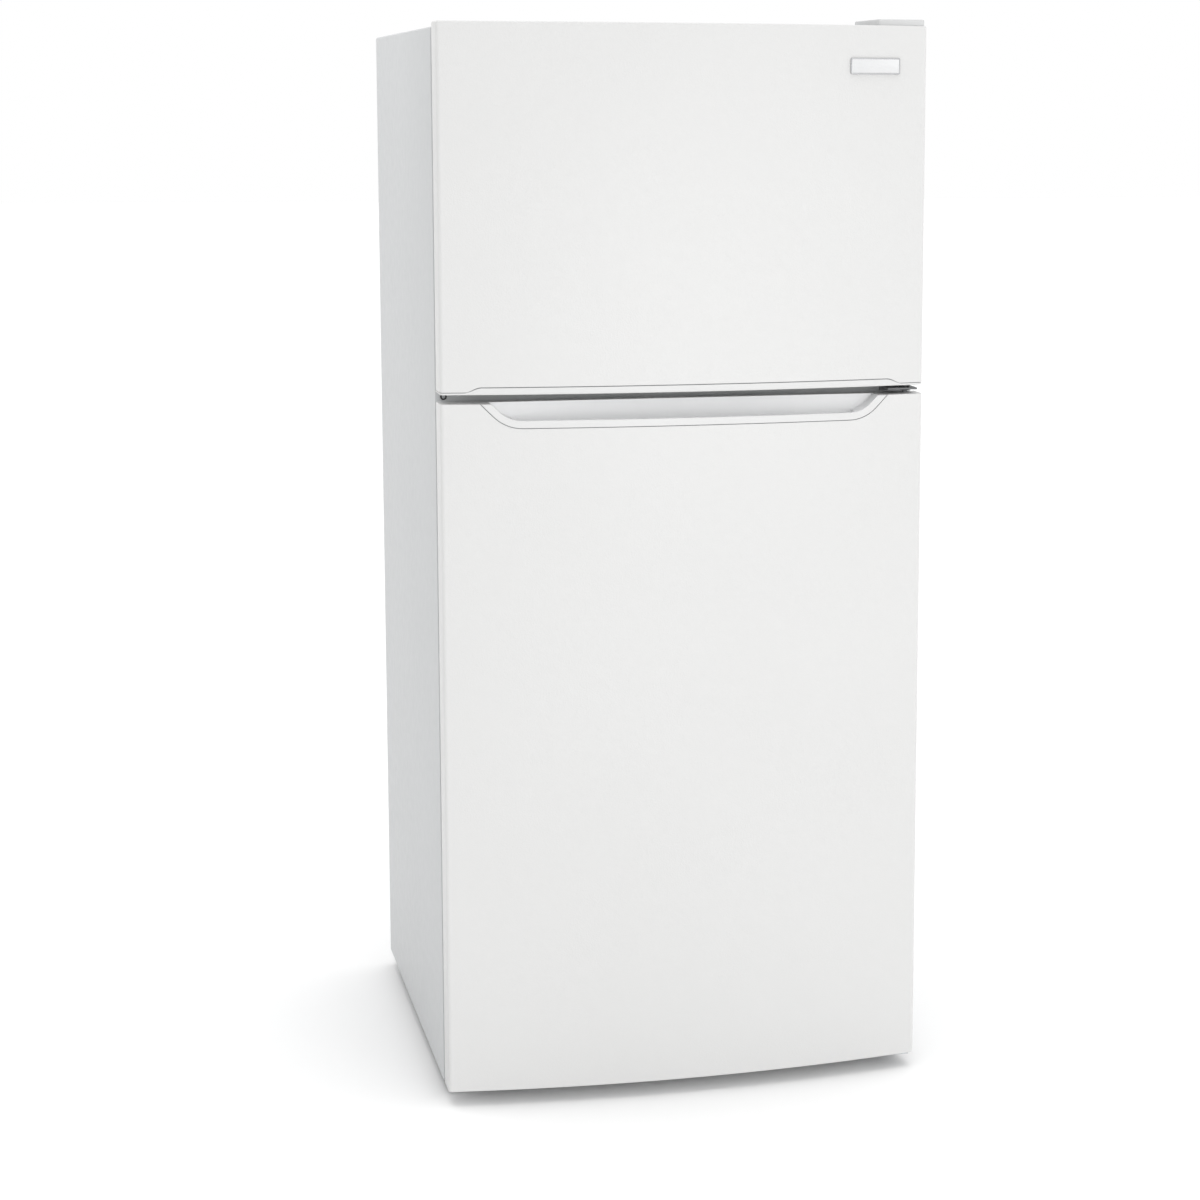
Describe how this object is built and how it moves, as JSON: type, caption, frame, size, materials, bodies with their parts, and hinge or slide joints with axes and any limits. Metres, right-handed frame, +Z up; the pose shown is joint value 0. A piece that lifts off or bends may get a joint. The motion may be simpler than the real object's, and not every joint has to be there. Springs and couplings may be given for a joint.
{
  "type": "top freezer refrigerator",
  "caption": "Free-standing refrigerator with a freezer above a fresh food compartment, bowed right-hinged doors, a pocket grip between them, shelves, bins and crispers.",
  "frame": {"origin": "on the floor, at the centre of the bounding box's base", "axes": "+Z up; -Y the way the doors face; +X the viewer's right from the front, the hinge side"},
  "size_m": [0.762, 0.7714, 1.6859],
  "materials": {
    "white_paint": "satin, pebbled",
    "cabinet_paint": "satin, pebbled",
    "white_plastic": "satin",
    "liner_plastic": "gloss",
    "gasket_vinyl": "matte",
    "foam": "rigid foam",
    "clear_plastic": "clear",
    "shelf_glass": "clear, framed",
    "zinc_steel": "zinc coated",
    "grey_plastic": "matte",
    "black_paint": "satin",
    "black_rubber": "matte",
    "aluminium": "mill",
    "badge_metal": "satin"
  },
  "bodies": {
    "cabinet": {"cabinet_wrapper": "cabinet_paint", "back_panel": "zinc_steel", "mullion_rail": "cabinet_paint", "hinge_hole_plug": "black_rubber", "cabinet_foam": "foam", "freezer_liner": "liner_plastic", "fridge_liner": "liner_plastic", "base_pan": "zinc_steel", "toe_grille": "grey_plastic", "top_hinge": "zinc_steel", "top_hinge_cover": "white_plastic", "center_hinge": "zinc_steel", "bottom_hinge": "zinc_steel", "lower_glass_shelf": "shelf_glass", "upper_glass_shelf": "shelf_glass", "crisper_cover": "shelf_glass", "control_housing": "white_plastic", "light_cover": "clear_plastic", "freezer_shelf": "white_paint", "evaporator_cover": "liner_plastic", "evaporator": "aluminium", "evaporator_fan_motor": "black_paint", "compressor": "black_paint", "condenser_fan_motor": "black_paint", "drain_pan": "black_paint", "condenser": "black_paint", "machine_cover": "grey_plastic", "power_cord_gland": "black_rubber"},
    "freezer_door": {"freezer_door_skin": "white_paint", "freezer_door_handle": "white_plastic", "freezer_door_foam": "foam", "freezer_door_liner": "liner_plastic", "freezer_door_gasket": "gasket_vinyl", "freezer_door_lower_bin": "white_plastic", "freezer_door_upper_bin": "white_plastic", "nameplate": "badge_metal"},
    "fridge_door": {"fridge_door_skin": "white_paint", "fridge_door_handle": "white_plastic", "fridge_door_foam": "foam", "fridge_door_bottom_cap": "white_plastic", "fridge_door_liner": "liner_plastic", "fridge_door_gasket": "gasket_vinyl", "fridge_door_lower_bin": "white_plastic", "fridge_door_middle_bin": "white_plastic", "fridge_door_upper_bin": "white_plastic", "dairy_box": "clear_plastic"},
    "dairy_flap": {"dairy_door": "clear_plastic"},
    "crisper_left": {"crisper_left": "clear_plastic"},
    "crisper_right": {"crisper_right": "clear_plastic"},
    "humidity_slider_left": {"humidity_slider_left": "grey_plastic"},
    "humidity_slider_right": {"humidity_slider_right": "grey_plastic"},
    "fridge_control_knob": {"fridge_control_knob": "white_plastic"},
    "freezer_control_knob": {"freezer_control_knob": "white_plastic"},
    "light_switch_plunger": {"light_switch_plunger": "grey_plastic"},
    "evaporator_fan": {"evaporator_fan": "grey_plastic"},
    "condenser_fan": {"condenser_fan": "grey_plastic"},
    "rear_roller_left": {"rear_roller_left": "grey_plastic"},
    "rear_roller_right": {"rear_roller_right": "grey_plastic"},
    "leveling_foot_left": {"leveling_foot_left": "grey_plastic"},
    "leveling_foot_right": {"leveling_foot_right": "grey_plastic"}
  },
  "joints": [
    {"name": "freezer_door_hinge", "type": "hinge", "parent": "cabinet", "child": "freezer_door", "pos_m": [0.359, -0.33335, 1.4], "axis": [0, 0, 1], "range_deg": [0, 130]},
    {"name": "fridge_door_hinge", "type": "hinge", "parent": "cabinet", "child": "fridge_door", "pos_m": [0.359, -0.33335, 0.56], "axis": [0, 0, 1], "range_deg": [0, 130]},
    {"name": "dairy_door_hinge", "type": "hinge", "parent": "fridge_door", "child": "dairy_flap", "pos_m": [-0.152, -0.2037, 0.992], "axis": [1, 0, 0], "range_deg": [0, 90]},
    {"name": "crisper_left_slide", "type": "slide", "parent": "cabinet", "child": "crisper_left", "axis": [0, -1, 0], "range_m": [0, 0.227]},
    {"name": "crisper_right_slide", "type": "slide", "parent": "cabinet", "child": "crisper_right", "axis": [0, -1, 0], "range_m": [0, 0.227]},
    {"name": "humidity_slider_left_slide", "type": "slide", "parent": "cabinet", "child": "humidity_slider_left", "axis": [1, 0, 0], "range_m": [0, 0.022]},
    {"name": "humidity_slider_right_slide", "type": "slide", "parent": "cabinet", "child": "humidity_slider_right", "axis": [1, 0, 0], "range_m": [0, 0.022]},
    {"name": "fridge_control_turn", "type": "hinge", "parent": "cabinet", "child": "fridge_control_knob", "pos_m": [-0.13, -0.18, 1.0245], "axis": [0, 0, 1], "range_deg": [-135, 135]},
    {"name": "freezer_control_turn", "type": "hinge", "parent": "cabinet", "child": "freezer_control_knob", "pos_m": [0.235, 0.2548, 1.25], "axis": [0, 1, 0], "range_deg": [-135, 135]},
    {"name": "light_switch_slide", "type": "slide", "parent": "cabinet", "child": "light_switch_plunger", "axis": [0, -1, 0], "range_m": [0, 0.006]},
    {"name": "evaporator_fan_spin", "type": "hinge", "parent": "cabinet", "child": "evaporator_fan", "pos_m": [0, 0.284, 1.47], "axis": [0, 1, 0], "continuous": true},
    {"name": "condenser_fan_spin", "type": "hinge", "parent": "cabinet", "child": "condenser_fan", "pos_m": [0.045, 0.262, 0.155], "axis": [1, 0, 0], "continuous": true},
    {"name": "rear_roller_left_spin", "type": "hinge", "parent": "cabinet", "child": "rear_roller_left", "pos_m": [-0.31, 0.32, 0.02], "axis": [1, 0, 0], "continuous": true},
    {"name": "rear_roller_right_spin", "type": "hinge", "parent": "cabinet", "child": "rear_roller_right", "pos_m": [0.31, 0.32, 0.02], "axis": [1, 0, 0], "continuous": true},
    {"name": "leveling_foot_left_turn", "type": "hinge", "parent": "cabinet", "child": "leveling_foot_left", "pos_m": [-0.33, -0.255, 0.02], "axis": [0, 0, 1], "continuous": true},
    {"name": "leveling_foot_right_turn", "type": "hinge", "parent": "cabinet", "child": "leveling_foot_right", "pos_m": [0.33, -0.255, 0.02], "axis": [0, 0, 1], "continuous": true}
  ],
  "couplings": [
    {"joint": "crisper_left_slide", "follows": "fridge_door_hinge", "m_per_rad": 0.1},
    {"joint": "crisper_right_slide", "follows": "fridge_door_hinge", "m_per_rad": 0.1},
    {"joint": "light_switch_slide", "follows": "fridge_door_hinge", "m_per_rad": 0.00264}
  ]
}
